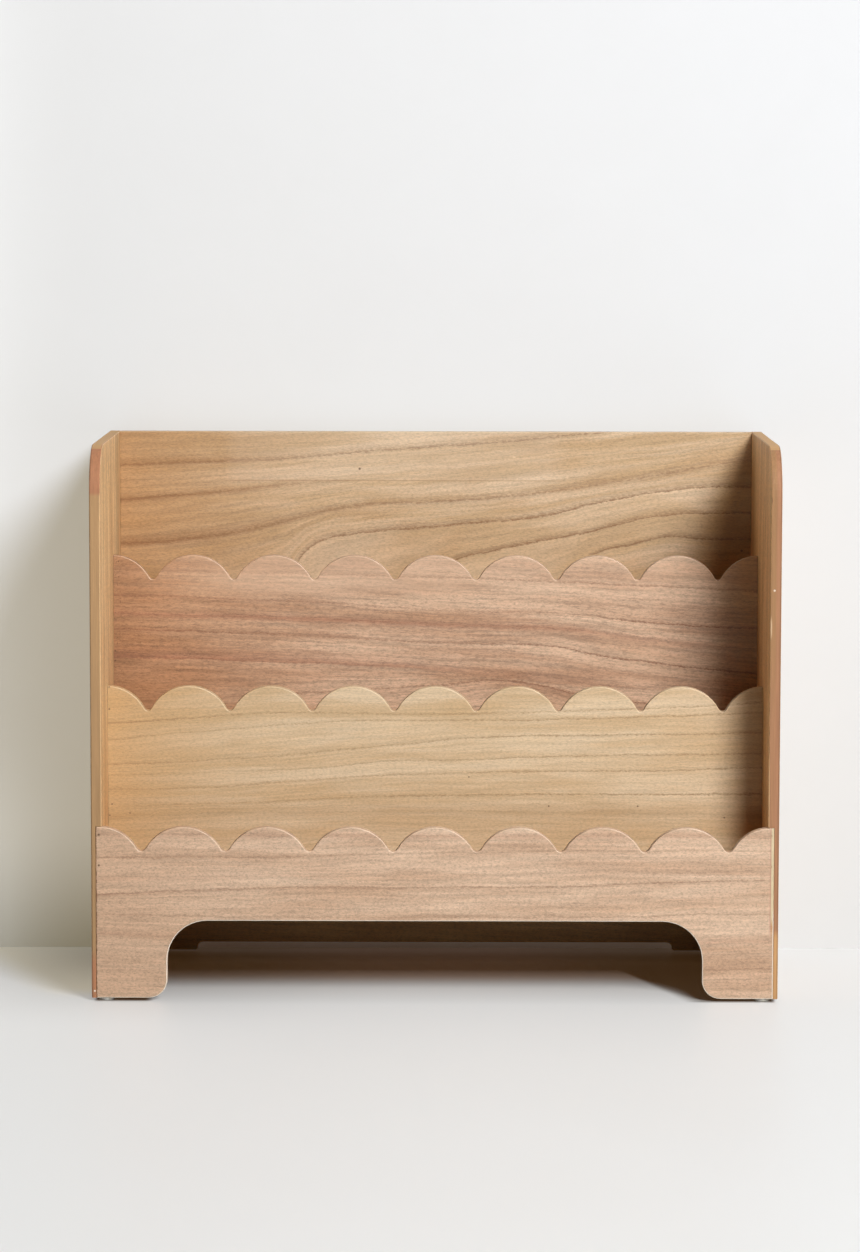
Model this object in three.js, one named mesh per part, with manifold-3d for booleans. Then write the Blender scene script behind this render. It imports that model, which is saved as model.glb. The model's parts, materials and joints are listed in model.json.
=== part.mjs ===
// Three-tier wooden book holder that shows the books' covers.
// Three scalloped boards, each higher and further back than the one before, stand between two
// side panels and a back panel. Behind each scalloped board lies the floor of a bin.
//
// Millimetres. X runs along the width, the front faces -Y, and +Z is up. The origin is at the
// middle of the width and of the depth, on the surface that the holder stands on.

import * as THREE from 'three';
import { mergeVertices } from 'three/addons/utils/BufferGeometryUtils.js';
import Module from 'manifold-3d';

const wasm = await Module();
wasm.setup();

// Overall sizes, and heights above the bottom edge of the boards
const overallWidth = 600;
const overallDepth = 250;
const backHeight = 482.5;
const frontCrest = 151;
const middleCrest = 266;
const upperCrest = 376;

// How far the middle and upper panels stand behind the front of the holder
const middleSetback = 75;
const upperSetback = 150;

// Boards
const sideThickness = 9.5;
const panelThickness = 9.5;
const floorThickness = 9.5;
const edgeRound = 0.8;
const glueLine = 0.2;
const sideCornerRadius = 42;

// Each floor lies this far below the crests of the panel in front of it
const lipHeight = 70;

// The front panel laps this much of each side panel's front edge
const lapWidth = 5.5;

// Scalloped top edges: the arcs are a little wider on the front panel, which is the longest,
// and the notches a little deeper and sharper on the panels behind it
const frontPitch = 73.2;
const frontScallopDepth = 21.4;
const frontNotchFillet = 4.5;
const innerPitch = 72.8;
const innerScallopDepth = 22;
const innerNotchFillet = 3.5;

// Arch between the feet of the front panel
const frontFootWidth = 62;
const frontArchHeight = 68.3;
const frontArchRadius = 35;
const footCornerRadius = 16;

// Low arch in the bottom edge of the back panel
const rearFootWidth = 70;
const rearArchHeight = 7.6;
const rearArchRadius = 5;
const rearFootCornerRadius = 2;

// Glued dowels in the ends of floors and panels
const dowelDiameter = 6;
const dowelInSide = 6;
const dowelInBoard = 20;
const dowelChamfer = 0.8;
const dowelClearance = 0.3;
const floorDowelInset = 15;
const panelDowelInset = 40;
const backDowelCount = 3;

// Brads through the lapped ends of the front panel
const bradShankDiameter = 1.2;
const bradHeadDiameter = 1.8;
const bradHeadThickness = 0.6;
const bradLength = 20;
const bradSink = 0.4;
const bradClearance = 0.2;
const upperBradBelowCrest = 7;
const bradSpacing = 27;

// Pads under the corners
const padHeight = 2.5;
const padDiameter = 15;
const padFaceDiameter = 11;
const padFromSide = 13;
const padFromFront = 8.5;

// Fineness of the round stretches
const cornerSteps = 12;
const footSteps = 8;
const smallCornerSteps = 3;
const scallopSteps = 16;
const notchSteps = 6;
const edgeSteps = 2;
const leastStep = 0.5;
const dowelSides = 12;
const bradSides = 8;
const padSides = 20;
const padSteps = 4;

// How far a cutter starts outside the board that it cuts, and how near two points are one
const overcut = 1;
const mergeTolerance = 1e-5;

// Places worked out from the sizes above
const halfWidth = overallWidth / 2;
const innerHalfWidth = halfWidth - sideThickness;
const frontFace = -overallDepth / 2;
const rearFace = overallDepth / 2;
const backFace = rearFace - panelThickness;
const woodBase = padHeight + glueLine;

const sides = [
  { name: 'left', sign: -1 },
  { name: 'right', sign: 1 },
];

// A scalloped edge is a row of equal arcs that bulge upwards. A fillet rounds each notch.
function scallops(pitch, depth, fillet) {
  const halfPitch = pitch / 2;
  const arcSpan = (depth ** 2 + halfPitch ** 2) / (2 * depth);
  const filletReach = (halfPitch * fillet) / arcSpan;
  return { pitch, halfPitch, depth, fillet, filletReach, radius: arcSpan - fillet };
}

const frontScallops = scallops(frontPitch, frontScallopDepth, frontNotchFillet);
const innerScallops = scallops(innerPitch, innerScallopDepth, innerNotchFillet);

// The three tiers, front to back. A tier's floor lies behind its panel.
const tiers = [
  { name: 'front', face: frontFace, crest: frontCrest, edge: frontScallops },
  { name: 'middle', face: frontFace + middleSetback, crest: middleCrest, edge: innerScallops },
  { name: 'upper', face: frontFace + upperSetback, crest: upperCrest, edge: innerScallops },
];
const floorNames = ['front_bin_floor', 'middle_bin_floor', 'rear_bin_floor'];

function floorTop(tier) {
  return woodBase + tier.crest - lipHeight;
}

function floorBottom(tier) {
  return floorTop(tier) - floorThickness;
}

// Materials

function wood(color, roughness = 0.6) {
  return new THREE.MeshStandardMaterial({ color, roughness, metalness: 0 });
}

const materials = {
  side: wood('#c39460'),
  back: wood('#cfae8a'),
  front: wood('#d0ad8a'),
  middle: wood('#c8a370'),
  upper: wood('#cca485'),
  floor: wood('#c9a57c', 0.65),
  dowel: wood('#d9bd92', 0.7),
  brad: new THREE.MeshStandardMaterial({ color: '#7d756c', roughness: 0.4, metalness: 0.9 }),
  pad: new THREE.MeshStandardMaterial({ color: '#d9d6cb', roughness: 0.35, metalness: 0 }),
};

// Cutting: shapes become manifold solids only while they are being cut

function toSolid(geometry) {
  const bare = geometry.clone();
  bare.deleteAttribute('normal');
  bare.deleteAttribute('uv');
  const merged = mergeVertices(bare, mergeTolerance);
  return new wasm.Manifold(new wasm.Mesh({
    numProp: 3,
    vertProperties: new Float32Array(merged.attributes.position.array),
    triVerts: new Uint32Array(merged.index.array),
  }));
}

function toGeometry(solid) {
  const mesh = solid.getMesh();
  const geometry = new THREE.BufferGeometry();
  geometry.setAttribute('position', new THREE.BufferAttribute(mesh.vertProperties, 3));
  geometry.setIndex(new THREE.BufferAttribute(mesh.triVerts, 1));
  geometry.computeVertexNormals();
  return geometry;
}

// Cutters are given in the holder's frame, and the piece may sit anywhere in it
function inFrameOf(piece, geometry) {
  return toSolid(geometry.clone().translate(-piece.position.x, -piece.position.y, -piece.position.z));
}

function cut(piece, cutters) {
  let solid = toSolid(piece.geometry);
  for (const cutter of cutters) {
    solid = solid.subtract(inFrameOf(piece, cutter));
  }
  piece.geometry = toGeometry(solid);
}

function keepInside(piece, envelope) {
  piece.geometry = toGeometry(toSolid(piece.geometry).intersect(inFrameOf(piece, envelope)));
}

function boxBetween(low, high) {
  const size = high.map((value, axis) => value - low[axis]);
  const middle = high.map((value, axis) => (value + low[axis]) / 2);
  return new THREE.BoxGeometry(...size).translate(...middle);
}

function makePiece(name, geometry, material, x, y, z) {
  const mesh = new THREE.Mesh(geometry, material);
  mesh.name = name;
  mesh.position.set(x, y, z);
  return mesh;
}

// Outlines

// Points of an arc, both ends included. Angles are in degrees.
function arc(x, y, radius, from, to, steps) {
  const points = [];
  for (let step = 0; step <= steps; step += 1) {
    const angle = THREE.MathUtils.degToRad(from + ((to - from) * step) / steps);
    points.push(new THREE.Vector2(x + radius * Math.cos(angle), y + radius * Math.sin(angle)));
  }
  return points;
}

// How far a scalloped edge lies below its crests, at a distance from the nearest notch's middle
function edgeDrop(edge, distance) {
  if (distance < edge.filletReach) {
    return edge.depth - edge.fillet + Math.sqrt(edge.fillet ** 2 - distance ** 2);
  }
  const fromCrest = edge.halfPitch - distance;
  return edge.radius - Math.sqrt(edge.radius ** 2 - fromCrest ** 2);
}

// Distances from a notch at which the edge gets a point, out to the next crest
function notchStations(edge) {
  const stations = [0];
  const filletSweep = Math.asin(edge.filletReach / edge.fillet);
  for (let step = 1; step <= notchSteps / 2; step += 1) {
    stations.push(edge.fillet * Math.sin((filletSweep * step) / (notchSteps / 2)));
  }
  const arcSweep = Math.asin((edge.halfPitch - edge.filletReach) / edge.radius);
  const arcSteps = scallopSteps / 2;
  for (let step = arcSteps - 1; step >= 0; step -= 1) {
    stations.push(edge.halfPitch - edge.radius * Math.sin((arcSweep * step) / arcSteps));
  }
  return stations;
}

// The scalloped top edge of a board, from its right end to its left end
function scallopedEdge(halfLength, crest, edge) {
  const notches = Math.round((2 * halfLength) / edge.pitch);
  const stations = notchStations(edge);
  const inner = [];
  for (let notch = -1; notch <= notches; notch += 1) {
    const middle = (notch - (notches - 1) / 2) * edge.pitch;
    for (const station of stations) {
      inner.push(middle - station);
      inner.push(middle + station);
    }
  }
  // A point that meets its neighbour, or lies within the rounding of the board's end, is left out
  const sorted = inner.filter((x) => Math.abs(x) < halfLength - 2 * edgeRound).sort((a, b) => b - a);
  const spaced = sorted.filter((x, index) => index === 0 || sorted[index - 1] - x > leastStep);
  const nearestNotch = (x) => {
    const turns = x / edge.pitch + (notches - 1) / 2;
    return Math.abs(turns - Math.round(turns)) * edge.pitch;
  };
  return [halfLength, ...spaced, -halfLength].map(
    (x) => new THREE.Vector2(x, crest - edgeDrop(edge, nearestNotch(x))),
  );
}

// The bottom edge of a board with an arch between two feet, from left to right
function archedEdge(halfLength, arch) {
  const halfArch = halfLength - arch.footWidth;
  const left = [
    new THREE.Vector2(-halfLength, 0),
    ...arc(-halfArch - arch.footRadius, arch.footRadius, arch.footRadius, -90, 0, arch.footSteps),
    ...arc(-halfArch + arch.radius, arch.height - arch.radius, arch.radius, 180, 90, arch.steps),
  ];
  const right = left.map((point) => new THREE.Vector2(-point.x, point.y)).reverse();
  return [...left, ...right];
}

function straightEdge(halfLength, height) {
  return [new THREE.Vector2(-halfLength, height), new THREE.Vector2(halfLength, height)];
}

// A board cut to an outline, with eased arrises, its outline in X and Y and its front at Z = 0
function board(outline, thickness) {
  const geometry = new THREE.ExtrudeGeometry(new THREE.Shape(outline), {
    depth: thickness - 2 * edgeRound,
    bevelThickness: edgeRound,
    bevelSize: edgeRound,
    bevelOffset: -edgeRound,
    bevelSegments: edgeSteps,
    curveSegments: 1,
  });
  return geometry.translate(0, 0, edgeRound - thickness);
}

// Panels that face the front: the outline stands up, and the board reaches back from its face
function uprightBoard(outline, thickness) {
  return board(outline, thickness).rotateX(Math.PI / 2);
}

// Side panels: the outline runs back along +Y, and the board lies from X = 0 to its thickness
function sideBoard(outline, thickness) {
  return board(outline, thickness).translate(0, 0, thickness).rotateX(Math.PI / 2).rotateZ(Math.PI / 2);
}

// Pieces

function makeSidePanel(side) {
  const top = backHeight;
  const outline = [
    new THREE.Vector2(0, 0),
    new THREE.Vector2(overallDepth, 0),
    new THREE.Vector2(overallDepth, top),
    ...arc(sideCornerRadius, top - sideCornerRadius, sideCornerRadius, 90, 180, cornerSteps),
  ];
  const left = side.sign < 0 ? -halfWidth : innerHalfWidth;
  const panel = makePiece(
    `${side.name}_side_panel`,
    sideBoard(outline, sideThickness),
    materials.side,
    left,
    frontFace,
    woodBase,
  );
  cut(panel, [frontPanelRabbet(side)]);
  return panel;
}

// The step in a side panel's front edge that takes the end of the front panel
function frontPanelRabbet(side) {
  const inner = side.sign * (innerHalfWidth - overcut);
  const outer = side.sign * (innerHalfWidth + lapWidth);
  return boxBetween(
    [Math.min(inner, outer), frontFace - overcut, 0],
    [Math.max(inner, outer), frontFace + panelThickness + glueLine, woodBase + frontCrest + glueLine],
  );
}

// The front panel's ends are rounded too, because they show
function makeFrontPanel(tier) {
  const halfLength = innerHalfWidth + lapWidth - glueLine;
  const arch = {
    footWidth: frontFootWidth,
    height: frontArchHeight,
    radius: frontArchRadius,
    steps: cornerSteps,
    footRadius: footCornerRadius,
    footSteps,
  };
  const outline = [...archedEdge(halfLength, arch), ...scallopedEdge(halfLength, tier.crest, tier.edge)];
  const geometry = uprightBoard(outline, panelThickness);
  return makePiece('front_panel', geometry, materials.front, 0, tier.face, woodBase);
}

// A panel between the sides has square-cut ends: it is rounded longer, then cut to length
function fitBetweenSides(panel) {
  const reach = innerHalfWidth - glueLine;
  const far = overallDepth + backHeight;
  keepInside(panel, boxBetween([-reach, -far, -far], [reach, far, far]));
}

// A middle or upper panel reaches down behind the floor of the bin in front of it
function makeInnerPanel(tier, tierInFront, material) {
  const bottom = floorBottom(tierInFront) - woodBase;
  const halfLength = innerHalfWidth + 2 * edgeRound;
  const outline = [
    ...straightEdge(halfLength, bottom),
    ...scallopedEdge(halfLength, tier.crest, tier.edge),
  ];
  const geometry = uprightBoard(outline, panelThickness);
  const panel = makePiece(`${tier.name}_panel`, geometry, material, 0, tier.face, woodBase);
  fitBetweenSides(panel);
  return panel;
}

function makeBackPanel() {
  const arch = {
    footWidth: rearFootWidth + 2 * edgeRound,
    height: rearArchHeight,
    radius: rearArchRadius,
    steps: smallCornerSteps,
    footRadius: rearFootCornerRadius,
    footSteps: smallCornerSteps,
  };
  const halfLength = innerHalfWidth + 2 * edgeRound;
  const outline = [...archedEdge(halfLength, arch), ...straightEdge(-halfLength, backHeight)];
  const geometry = uprightBoard(outline, panelThickness);
  const panel = makePiece('back_panel', geometry, materials.back, 0, backFace, woodBase);
  fitBetweenSides(panel);
  return panel;
}

// A floor fills the gap between its panel and the next board behind
function makeFloor(name, tier, nextFace) {
  const front = tier.face + panelThickness + glueLine;
  const rear = nextFace - glueLine;
  const length = 2 * (innerHalfWidth - glueLine);
  const geometry = new THREE.BoxGeometry(length, rear - front, floorThickness);
  const middleHeight = floorBottom(tier) + floorThickness / 2;
  return makePiece(name, geometry, materials.floor, 0, (front + rear) / 2, middleHeight);
}

// A closed turned piece about Z, from radius and height pairs that start and end on the axis
function turned(profile, sidesAround) {
  const points = profile.map(([radius, height]) => new THREE.Vector2(radius, height));
  return new THREE.LatheGeometry(points, sidesAround).rotateX(Math.PI / 2);
}

// A dowel that stands in a side panel and in the end of a board, where that board needs it
function makeDowel(name, side, y, z) {
  const radius = dowelDiameter / 2;
  const length = dowelInSide + dowelInBoard;
  const profile = [
    [0, 0],
    [radius - dowelChamfer, 0],
    [radius, dowelChamfer],
    [radius, length - dowelChamfer],
    [radius - dowelChamfer, length],
    [0, length],
  ];
  const geometry = turned(profile, dowelSides).translate(0, 0, -dowelInBoard);
  geometry.rotateY((side.sign * Math.PI) / 2);
  return makePiece(name, geometry, materials.dowel, side.sign * innerHalfWidth, y, z);
}

// The hole for a dowel, in both boards at once
function dowelHole(dowel, side) {
  const radius = dowelDiameter / 2 + dowelClearance;
  const length = dowelInSide + dowelInBoard + 2 * dowelClearance;
  const geometry = new THREE.CylinderGeometry(radius, radius, length, dowelSides);
  geometry.rotateZ(Math.PI / 2);
  const middle = side.sign * (innerHalfWidth + (dowelInSide - dowelInBoard) / 2);
  return geometry.translate(middle, dowel.position.y, dowel.position.z);
}

// Joins the end of a board to a side panel with dowels at the given places
function joinWithDowels(plank, sidePanel, side, places) {
  const dowels = places.map(({ y, z }, index) =>
    makeDowel(`${side.name}_dowel_${plank.name}_${index + 1}`, side, y, z));
  const holes = dowels.map((dowel) => dowelHole(dowel, side));
  cut(plank, holes);
  cut(sidePanel, holes);
  return dowels;
}

// A brad with its flat head to the front, sunk a little below the panel's face
function makeBrad(name, side, z) {
  const head = bradHeadDiameter / 2;
  const shank = bradShankDiameter / 2;
  const profile = [
    [0, -bradLength],
    [shank, -bradLength + shank],
    [shank, -bradHeadThickness],
    [head, -bradHeadThickness],
    [head, 0],
    [0, 0],
  ];
  const geometry = turned(profile, bradSides).rotateX(Math.PI / 2);
  const x = side.sign * (innerHalfWidth + lapWidth / 2);
  return makePiece(name, geometry, materials.brad, x, frontFace + bradSink, z);
}

function bradHoles(brad) {
  const shank = bradShankDiameter / 2 + bradClearance;
  const head = bradHeadDiameter / 2 + bradClearance;
  const start = overcut + bradSink;
  const headDepth = start + bradHeadThickness + bradClearance;
  const shankDepth = start + bradLength + bradClearance;
  const cutters = [[head, headDepth], [shank, shankDepth]];
  return cutters.map(([radius, depth]) =>
    new THREE.CylinderGeometry(radius, radius, depth, bradSides)
      .translate(0, depth / 2, 0)
      .translate(brad.position.x, frontFace - overcut, brad.position.z));
}

// A soft disc with a bulging rim, its wide face against the wood
function makePad(name, x, y) {
  const reach = (padDiameter - padFaceDiameter) / 2;
  const rim = [];
  for (let step = 0; step <= padSteps; step += 1) {
    const angle = (Math.PI / 2) * (step / padSteps);
    rim.push([padFaceDiameter / 2 + reach * Math.sin(angle), padHeight * (1 - Math.cos(angle))]);
  }
  const geometry = turned([[0, 0], ...rim, [0, padHeight]], padSides);
  return makePiece(name, geometry, materials.pad, x, y, 0);
}

// Assembly

const holder = new THREE.Group();
holder.name = 'book_holder';

const sidePanels = sides.map(makeSidePanel);
const frontPanel = makeFrontPanel(tiers[0]);
const middlePanel = makeInnerPanel(tiers[1], tiers[0], materials.middle);
const upperPanel = makeInnerPanel(tiers[2], tiers[1], materials.upper);
const backPanel = makeBackPanel();

const facesBehind = [tiers[1].face, tiers[2].face, backFace];
const floors = tiers.map((tier, index) => makeFloor(floorNames[index], tier, facesBehind[index]));

holder.add(...sidePanels, backPanel, frontPanel, middlePanel, upperPanel, ...floors);

function floorDowelPlaces(tier, index) {
  const z = floorBottom(tier) + floorThickness / 2;
  return [
    { y: tier.face + panelThickness + floorDowelInset, z },
    { y: facesBehind[index] - floorDowelInset, z },
  ];
}

function panelDowelPlaces(tier, tierInFront) {
  const y = tier.face + panelThickness / 2;
  return [
    { y, z: floorTop(tierInFront) + panelDowelInset },
    { y, z: woodBase + tier.crest - panelDowelInset },
  ];
}

function backDowelPlaces() {
  const places = [];
  const span = backHeight - 2 * panelDowelInset;
  for (let index = 0; index < backDowelCount; index += 1) {
    const z = woodBase + panelDowelInset + (span * index) / (backDowelCount - 1);
    places.push({ y: backFace + panelThickness / 2, z });
  }
  return places;
}

sides.forEach((side, index) => {
  const panel = sidePanels[index];
  tiers.forEach((tier, level) => {
    holder.add(...joinWithDowels(floors[level], panel, side, floorDowelPlaces(tier, level)));
  });
  holder.add(...joinWithDowels(middlePanel, panel, side, panelDowelPlaces(tiers[1], tiers[0])));
  holder.add(...joinWithDowels(upperPanel, panel, side, panelDowelPlaces(tiers[2], tiers[1])));
  holder.add(...joinWithDowels(backPanel, panel, side, backDowelPlaces()));
});

sides.forEach((side, index) => {
  const upperHeight = woodBase + frontCrest - upperBradBelowCrest;
  const upper = makeBrad(`${side.name}_brad_upper`, side, upperHeight);
  const lower = makeBrad(`${side.name}_brad_lower`, side, upperHeight - bradSpacing);
  for (const brad of [upper, lower]) {
    cut(frontPanel, bradHoles(brad));
    cut(sidePanels[index], bradHoles(brad));
    holder.add(brad);
  }
});

for (const side of sides) {
  const x = side.sign * (halfWidth - padFromSide);
  holder.add(makePad(`front_${side.name}_pad`, x, frontFace + padFromFront));
  holder.add(makePad(`rear_${side.name}_pad`, x, rearFace - padFromFront));
}

export default holder;
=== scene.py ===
# Book holder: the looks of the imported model, with its floor, wall, lamp and camera
import json
import math
from collections import namedtuple

import bpy
from mathutils import Matrix, Vector


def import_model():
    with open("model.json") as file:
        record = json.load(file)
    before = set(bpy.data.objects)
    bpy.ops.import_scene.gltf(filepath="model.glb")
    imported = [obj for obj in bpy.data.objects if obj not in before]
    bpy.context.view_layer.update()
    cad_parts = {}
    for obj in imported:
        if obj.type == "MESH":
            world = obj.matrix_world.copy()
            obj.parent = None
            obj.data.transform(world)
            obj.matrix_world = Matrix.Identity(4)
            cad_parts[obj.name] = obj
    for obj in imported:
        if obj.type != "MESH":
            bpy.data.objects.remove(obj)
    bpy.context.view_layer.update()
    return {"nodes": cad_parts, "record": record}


MM_PER_METRE = 1000.0
WHITE = (1.0, 1.0, 1.0, 1.0)


def tone(red, green, blue):
    """A colour written as on a screen, 0 to 255, as the linear values that Blender uses."""
    def linear(value):
        share = value / 255
        return share / 12.92 if share <= 0.04045 else ((share + 0.055) / 1.055) ** 2.4
    return (linear(red), linear(green), linear(blue), 1.0)


# Camera: its place in metres, and its turns in degrees
CAMERA_PLACE = (0.00117, -3.86915, 0.71238)
CAMERA_PITCH = 5.8267
CAMERA_YAW = -0.0895
CAMERA_ROLL = 0.1116
CAMERA_LENS = 124.77
SENSOR_WIDTH = 36.0
CLIP_END = 100.0

# Stage and light, in metres and watts
WALL_Y = 0.143
STAGE_REACH = 14.0
WALL_HEIGHT = 5.0
KEY_AIM = (0.0, 0.0, 0.25)
KEY_DIRECTION = (0.49, -1.0, 0.73)
KEY_DISTANCE = 3.6
KEY_SIZE = 1.25
KEY_POWER = 131.0
SKY_FRONT = 0.0
SKY_REAR = 0.62
BACKDROP = tone(240, 240, 238)

# Pale paint. Its lift is what the camera and reflections see on top of the lamp's light.
WALL_PAINT = (0.49, 0.53, 0.61, 1.0)
WALL_LIFT = (0.36, 0.32, 0.24, 1.0)
# Painted shade: a smaller lift on the wall's shadow low down at the left
WALL_SHADE_LIFT_LOW = (0.131, 0.111, 0.061, 1.0)
# Painted shade on the wall seen through the gap under the back panel's arch
BEHIND_ARCH_SHADE_LIFT = (0.02, 0.007, 0.002, 1.0)
# Painted light that brightens the wall's shadow towards its outer edge
SIDE_PAINTED_LIGHT = (0.14, 0.148, 0.15, 1.0)
FLOOR_PAINT = (0.42, 0.42, 0.412, 1.0)
FLOOR_LIFT = (0.43, 0.43, 0.43, 1.0)
# Painted shade: a faint brown lift below the holder instead of the pale one
UNDER_SHADE_LIFT = (0.041, 0.019, 0.009, 1.0)
UNDER_SHADE_LIFT_SIDES = (0.029, 0.013, 0.004, 1.0)
# Painted shade colours: a warm fringe at the front of the shadow below the holder, and warmth in the
# shadow to the left
SHADOW_FRINGE_TINT = (1.08, 0.82, 0.68, 1.0)
SHADE_TINT = (1.05, 0.975, 0.79, 1.0)
FAR_FLOOR = tone(234, 233, 231)

# Places on the holder, in millimetres
FRONT_Y = -125.0
TOP_Z = 485.0

# Slopes: how far the floor's painted shadows and the inner boards' painted corner shade spread to the
# left per millimetre behind the front face, and the painted corner shade per millimetre below the top
FOOT_SHADOW_LEAN = 0.44
LEFT_SHADOW_LEAN = 0.45
CORNER_LEAN = 0.19
CORNER_DROP = 0.6

# Zones give where a change starts and ends, in millimetres. Their last letter says along which
# axis, and W is the distance from the middle of the holder's width.
BEHIND_WALL_Y = (WALL_Y * MM_PER_METRE, WALL_Y * MM_PER_METRE + 22.0)
HOLDER_W = (275.0, 310.0)
FRONT_FACE_Y = (-129.0, -124.0)
LEFT_FOOT_X = (-254.0, -244.0)
RIGHT_FOOT_X = (231.0, 235.0)
FEET_ENDS_W = (295.0, 299.0)
FOOT_SHADOW_X = (214.0, 238.0)
FOOT_SHADOW_END_X = (234.0, 240.0)
LEFT_SHADOW_X = (-345.0, -285.0)
LEFT_SHADOW_END_X = (-285.0, -240.0)
LEFT_SHADOW_Y = (-120.0, -60.0)
DIM_LEFT_X = (-480.0, -300.0)
DIM_LEFT_END_X = (-300.0, 0.0)
DIM_LEFT_Y = (-260.0, 140.0)
FRINGE_Y = (-50.0, 10.0)
REAR_FLOOR_Y = (60.0, 100.0)
REAR_FLOOR_W = (280.0, 310.0)
UNDER_SIDES_W = (40.0, 200.0)
FAR_FLOOR_DISTANCE = (1150.0, 2100.0)
LOW_WALL_Z = (-40.0, 130.0)
LOW_WALL_X = (-200.0, 0.0)
GLOW_END_X = (-540.0, -410.0)
GLOW_Z = (60.0, 230.0)
HIDDEN_WALL_Z = (20.0, 60.0)
HIDDEN_WALL_W = (290.0, 305.0)

# The floor's painted shade deepens from the holder's front on, its lift grows towards the wall, the
# wall's painted light grows from the shadow's edge outwards, and the far floor starts nearer at the
# sides
BELOW_START_Y = -140.0
BELOW_DEPTH = 170.0
FLOOR_LIFT_PER_MM = 0.00022
FLOOR_LIFT_MIDDLE = 0.973
GLOW_START_X = -310.0
GLOW_REACH = 90.0
FAR_SQUEEZE = 1.5


class Shader:
    """Builds the nodes of a material or the world. A value is a number, a tuple or a socket."""

    def __init__(self, owner):
        owner.use_nodes = True
        self.owner = owner
        self.tree = owner.node_tree
        self.tree.nodes.clear()

    def put(self, socket, value):
        if isinstance(value, bpy.types.NodeSocket):
            self.tree.links.new(value, socket)
        else:
            socket.default_value = value

    def node(self, kind, inputs=None, **settings):
        made = self.tree.nodes.new(kind)
        for key, value in settings.items():
            setattr(made, key, value)
        for key, value in (inputs or {}).items():
            self.put(made.inputs[key], value)
        return made

    def math(self, operation, *values, clamp=False):
        inputs = dict(enumerate(values))
        return self.node("ShaderNodeMath", inputs, operation=operation, use_clamp=clamp).outputs[0]

    def scaled(self, value, factor, offset, clamp=False):
        """The value times the factor, plus the offset."""
        return self.math("MULTIPLY_ADD", value, factor, offset, clamp=clamp)

    def absolute(self, value):
        return self.math("ABSOLUTE", value)

    def times(self, *values):
        result = values[0]
        for value in values[1:]:
            result = self.math("MULTIPLY", result, value)
        return result

    def total(self, *values):
        result = values[0]
        for value in values[1:]:
            result = self.math("ADD", result, value)
        return result

    def split(self, vector):
        return self.node("ShaderNodeSeparateXYZ", {0: vector}).outputs

    def join(self, x, y, z):
        return self.node("ShaderNodeCombineXYZ", {0: x, 1: y, 2: z}).outputs[0]

    def distance(self, x, y):
        """How far the point X, Y is from 0, 0."""
        place = self.join(x, y, 0.0)
        return self.node("ShaderNodeVectorMath", {0: place}, operation="LENGTH").outputs["Value"]

    def between(self, value, low, high, start=0.0, end=1.0):
        """A smooth step from start to end while the value goes from low to high."""
        made = self.node(
            "ShaderNodeMapRange",
            {"Value": value, "From Min": low, "From Max": high, "To Min": start, "To Max": end},
            interpolation_type="SMOOTHSTEP",
        )
        return made.outputs[0]

    def fall(self, value, low, high):
        """A smooth step from 1 down to 0."""
        return self.between(value, low, high, 1.0, 0.0)

    def mix(self, share, first, second, blend="MIX"):
        made = self.node(
            "ShaderNodeMix", {0: share, 6: first, 7: second}, data_type="RGBA", blend_type=blend
        )
        return made.outputs[2]

    def mix_shaders(self, share, first, second):
        return self.node("ShaderNodeMixShader", {0: share, 1: first, 2: second}).outputs[0]

    def darken(self, colour, factor):
        return self.mix(1.0, colour, self.join(factor, factor, factor), "MULTIPLY")

    def tinted(self, colour, tint):
        """The colour with its red, green and blue each multiplied by a number."""
        return self.mix(1.0, colour, tint, "MULTIPLY")

    def noise(self, place, detail=2.0, roughness=0.5, distortion=0.0):
        made = self.node(
            "ShaderNodeTexNoise",
            {"Vector": place, "Scale": 1.0, "Detail": detail, "Roughness": roughness,
             "Distortion": distortion},
        )
        return made.outputs[0]

    def stretched_noise(self, place, scales, detail=2.0, roughness=0.5):
        """Noise of three coordinates, each scaled by itself."""
        scaled = [self.math("MULTIPLY", value, scale) for value, scale in zip(place, scales)]
        return self.noise(self.join(*scaled), detail, roughness)

    def curves(self, value, *point_lists):
        """Up to three smooth curves of one value, all from 0 to 1."""
        made = self.node("ShaderNodeRGBCurve", {"Color": self.join(value, value, value)})
        for curve, points in zip(made.mapping.curves, point_lists):
            fill_curve(curve, points)
        made.mapping.update()
        return self.split(made.outputs[0])

    def surface(self, colour, roughness, height, bump=0.2, depth=0.0004, **fixed):
        """A painted or lacquered surface with a fine relief. Depth is in metres."""
        relief = self.node("ShaderNodeBump", {"Strength": bump, "Distance": depth, "Height": height})
        inputs = {"Base Color": colour, "Roughness": roughness, "Normal": relief.outputs[0]}
        for key, value in fixed.items():
            inputs[key.replace("_", " ")] = value
        return self.node("ShaderNodeBsdfPrincipled", inputs).outputs[0]

    def finish(self, surface):
        self.node("ShaderNodeOutputMaterial", {"Surface": surface})
        return self.owner


def new_material(name):
    return Shader(bpy.data.materials.new(name))


def fill_curve(curve, points):
    """Gives the curve these points instead of its two first ones."""
    points = sorted(points)
    while len(curve.points) < len(points):
        curve.points.new(0.5, 0.5)
    for slot, (x, y) in zip(curve.points, points):
        slot.location = (x, y)
        slot.handle_type = "AUTO"


# Grain. A line is its path and its strength along the board, with how far its shade reaches
# below and above the path, all in millimetres. A ring has a sharp core and a band has none.
Line = namedtuple("Line", "path strength below above kind")
ACROSS_LOW = -150.0
ACROSS_SPAN = 1000.0
FOLD_RADIUS = 6.0
SHADE_POWER = 1.6
CORE_OFFSET = 0.2
CORE_SLOPE = -0.95
CORE_START = 1.05

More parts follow.
